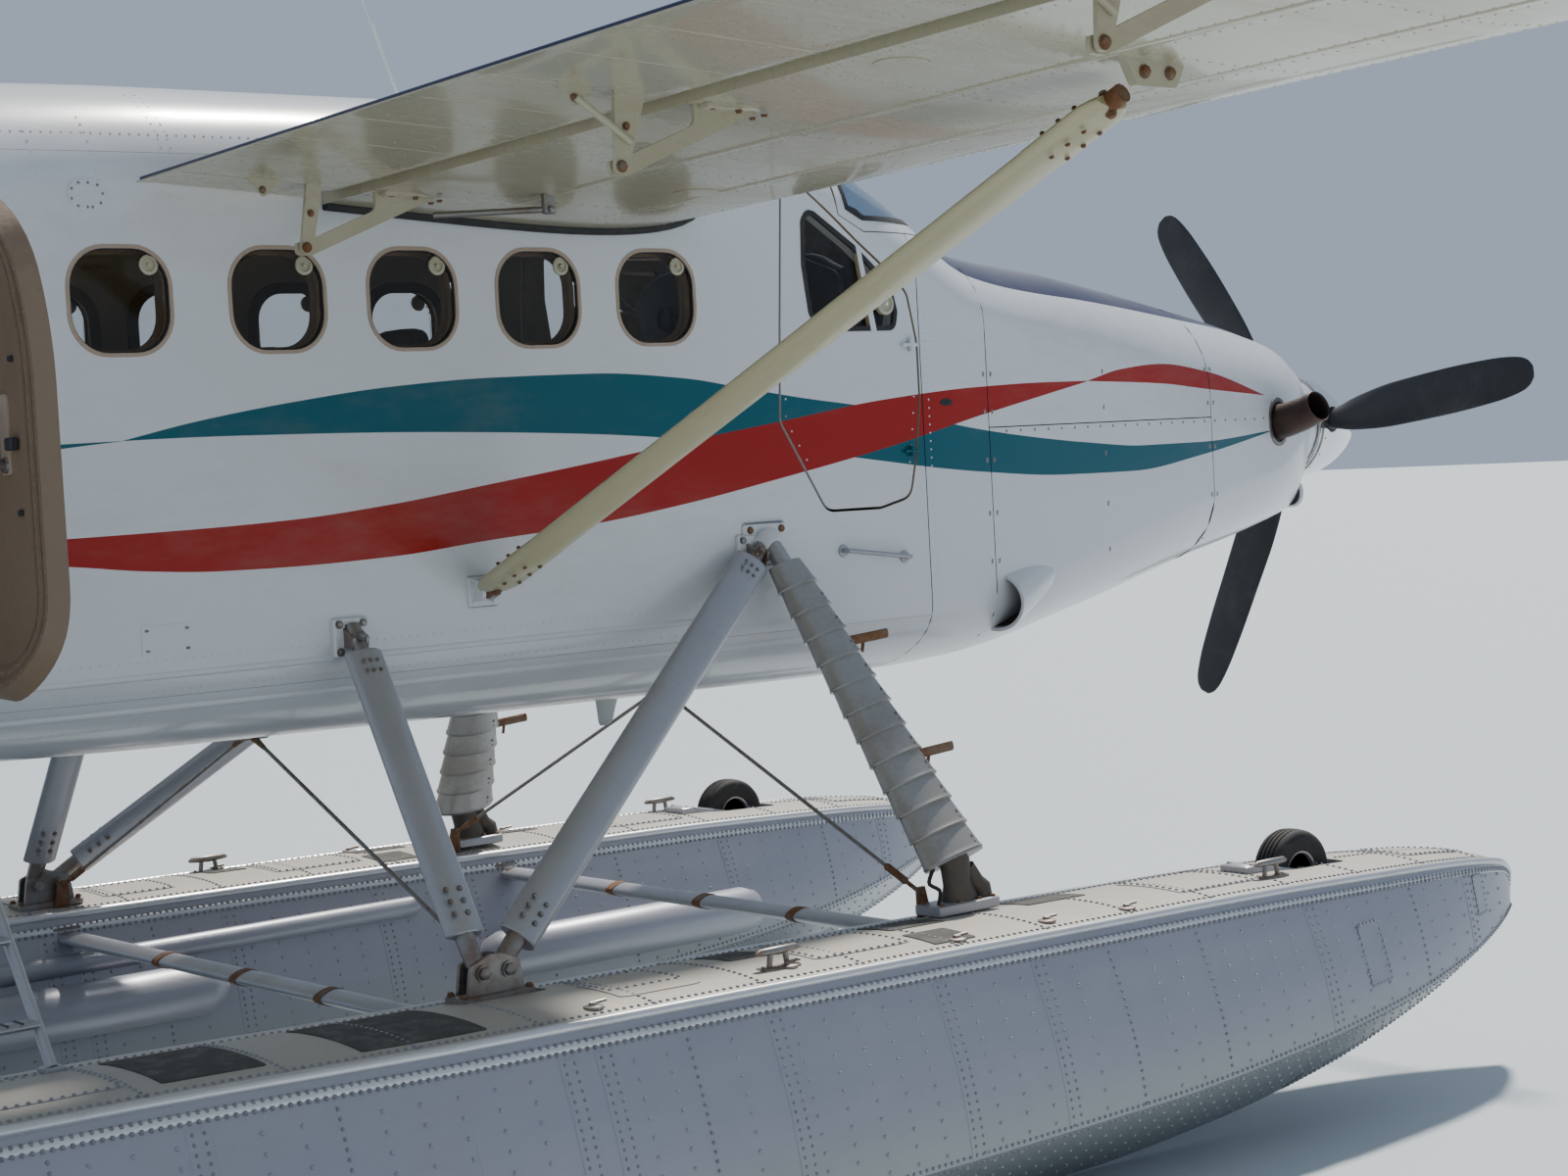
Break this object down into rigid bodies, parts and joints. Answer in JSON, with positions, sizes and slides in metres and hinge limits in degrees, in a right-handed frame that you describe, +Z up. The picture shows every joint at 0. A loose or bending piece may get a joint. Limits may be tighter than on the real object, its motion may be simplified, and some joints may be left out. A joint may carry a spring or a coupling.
{
  "type": "floatplane",
  "caption": "High-wing single-turboprop utility floatplane with twin floats, retracted wheels and an open cabin door.",
  "frame": {"origin": "on the ground under the middle of the overall length, on the centre plane, at the level of the float keels", "axes": "+X towards the propeller, +Y to port, +Z up"},
  "size_m": [13.8, 17.7, 4.8],
  "materials": {
    "white_paint": "gloss white paint with faint dirt",
    "cream_paint": "weathered cream paint",
    "float_skin": "riveted silver sheet",
    "gear_skin": "silver painted tube",
    "bare_steel": "bare steel",
    "polished": "polished spinner",
    "blade_paint": "matt black",
    "tyre": "black rubber with a dark rim",
    "burnt_steel": "heat stained steel",
    "trim": "tan cabin trim",
    "seat": "worn brown covers",
    "panel": "black panel",
    "glass": "clear acrylic"
  },
  "bodies": {
    "airframe": {"cabin_side_starboard": "white_paint", "door_surround_starboard": "white_paint", "cabin_side_port": "white_paint", "cabin_roof": "white_paint", "cabin_belly": "white_paint", "tail_cone": "white_paint", "cowl_rear_ring": "white_paint", "cowl_upper": "white_paint", "cowl_lower": "white_paint", "cowl_nose": "white_paint", "fin": "white_paint", "tailplane_starboard": "white_paint", "tailplane_port": "white_paint", "windscreen": "glass", "cabin_window_sheet_starboard": "glass", "cabin_window_sheet_port": "glass", "rear_bulkhead": "trim", "engine_block": "bare_steel", "bracing_wires_fore": "bare_steel", "bracing_wires_aft": "bare_steel", "exhaust_starboard": "burnt_steel", "exhaust_port": "burnt_steel", "cabin_seats_starboard": "seat", "cabin_seats_port": "seat", "crew_seats": "seat", "instrument_panel": "panel", "spreader_bar_fore": "gear_skin", "spreader_bar_aft": "gear_skin", "boarding_ladder": "gear_skin", "wing_starboard": "cream_paint", "wing_strut_starboard": "cream_paint", "float_starboard": "float_skin", "front_pylon_starboard": "gear_skin", "v_strut_starboard": "gear_skin", "wing_port": "cream_paint", "wing_strut_port": "cream_paint", "float_port": "float_skin", "front_pylon_port": "gear_skin", "v_strut_port": "gear_skin"},
    "propeller": {"propeller": "blade_paint", "spinner": "polished"},
    "cabin_door": {"cabin_door_starboard": "white_paint"},
    "cargo_door_fore": {"cargo_door_fore": "white_paint"},
    "cargo_door_aft": {"cargo_door_aft": "white_paint"},
    "elevators": {"elevator_starboard": "white_paint", "elevator_port": "white_paint"},
    "rudder": {"rudder": "white_paint"},
    "cockpit_door_starboard": {"cockpit_door_starboard": "white_paint"},
    "flap_starboard": {"flap_starboard": "cream_paint"},
    "aileron_starboard": {"aileron_starboard": "cream_paint"},
    "nose_wheel_starboard": {"nose_wheel_starboard": "tyre"},
    "main_wheels_starboard": {"main_wheels_starboard": "tyre"},
    "water_rudder_starboard": {"water_rudder_starboard": "float_skin"},
    "cockpit_door_port": {"cockpit_door_port": "white_paint"},
    "flap_port": {"flap_port": "cream_paint"},
    "aileron_port": {"aileron_port": "cream_paint"},
    "nose_wheel_port": {"nose_wheel_port": "tyre"},
    "main_wheels_port": {"main_wheels_port": "tyre"},
    "water_rudder_port": {"water_rudder_port": "float_skin"}
  },
  "joints": [
    {"name": "propeller_spin", "type": "hinge", "parent": "airframe", "child": "propeller", "pos_m": [6.48, 0, 2.492], "axis": [0.9954, 0, -0.0958], "continuous": true},
    {"name": "cabin_door_swing", "type": "hinge", "parent": "airframe", "child": "cabin_door", "pos_m": [-0.28, -0.8319, 2.62], "axis": [0, 0, 1], "range_deg": [-90, 15]},
    {"name": "cargo_door_fore_swing", "type": "hinge", "parent": "airframe", "child": "cargo_door_fore", "pos_m": [-0.24, 0.8325, 2.53], "axis": [0, 0, -1], "range_deg": [0, 100]},
    {"name": "cargo_door_aft_swing", "type": "hinge", "parent": "airframe", "child": "cargo_door_aft", "pos_m": [-1.44, 0.7804, 2.53], "axis": [0, 0, 1], "range_deg": [0, 100]},
    {"name": "elevator_hinge", "type": "hinge", "parent": "airframe", "child": "elevators", "pos_m": [-6.28, 0, 3.64], "axis": [0, -1, 0], "range_deg": [-25, 15]},
    {"name": "rudder_hinge", "type": "hinge", "parent": "airframe", "child": "rudder", "pos_m": [-6.3, 0, 3.75], "axis": [0, 0, 1], "range_deg": [-25, 25]},
    {"name": "cockpit_door_starboard_swing", "type": "hinge", "parent": "airframe", "child": "cockpit_door_starboard", "pos_m": [3.414, -0.838, 2.68], "axis": [0, 0, 1], "range_deg": [0, 80]},
    {"name": "flap_starboard_hinge", "type": "hinge", "parent": "airframe", "child": "flap_starboard", "pos_m": [0.72, -1.1, 3.17549], "axis": [0, -0.9993, 0.0377], "range_deg": [0, 40]},
    {"name": "aileron_starboard_hinge", "type": "hinge", "parent": "airframe", "child": "aileron_starboard", "pos_m": [0.8395, -7.1, 3.66209], "axis": [0, -0.9993, 0.0377], "range_deg": [-22, 18]},
    {"name": "nose_wheel_starboard_spin", "type": "hinge", "parent": "airframe", "child": "nose_wheel_starboard", "pos_m": [4.375, -1.646, 0.868], "axis": [0, 1, 0], "continuous": true},
    {"name": "main_wheels_starboard_spin", "type": "hinge", "parent": "airframe", "child": "main_wheels_starboard", "pos_m": [0.1, -1.646, 0.5], "axis": [0, 1, 0], "continuous": true},
    {"name": "water_rudder_starboard_hinge", "type": "hinge", "parent": "airframe", "child": "water_rudder_starboard", "pos_m": [-3.51, -1.646, 0.75], "axis": [0, 0, 1], "range_deg": [-30, 30]},
    {"name": "cockpit_door_port_swing", "type": "hinge", "parent": "airframe", "child": "cockpit_door_port", "pos_m": [3.414, 0.838, 2.68], "axis": [0, 0, -1], "range_deg": [0, 80]},
    {"name": "flap_port_hinge", "type": "hinge", "parent": "airframe", "child": "flap_port", "pos_m": [0.72, 1.1, 3.17549], "axis": [0, -0.9993, -0.0377], "range_deg": [0, 40]},
    {"name": "aileron_port_hinge", "type": "hinge", "parent": "airframe", "child": "aileron_port", "pos_m": [0.8395, 7.1, 3.66209], "axis": [0, -0.9993, -0.0377], "range_deg": [-22, 18]},
    {"name": "nose_wheel_port_spin", "type": "hinge", "parent": "airframe", "child": "nose_wheel_port", "pos_m": [4.375, 1.646, 0.868], "axis": [0, 1, 0], "continuous": true},
    {"name": "main_wheels_port_spin", "type": "hinge", "parent": "airframe", "child": "main_wheels_port", "pos_m": [0.1, 1.646, 0.5], "axis": [0, 1, 0], "continuous": true},
    {"name": "water_rudder_port_hinge", "type": "hinge", "parent": "airframe", "child": "water_rudder_port", "pos_m": [-3.51, 1.646, 0.75], "axis": [0, 0, 1], "range_deg": [-30, 30]}
  ],
  "couplings": [
    {"joint": "aileron_port_hinge", "follows": "aileron_starboard_hinge", "ratio": -0.8},
    {"joint": "flap_port_hinge", "follows": "flap_starboard_hinge", "ratio": 1}
  ]
}
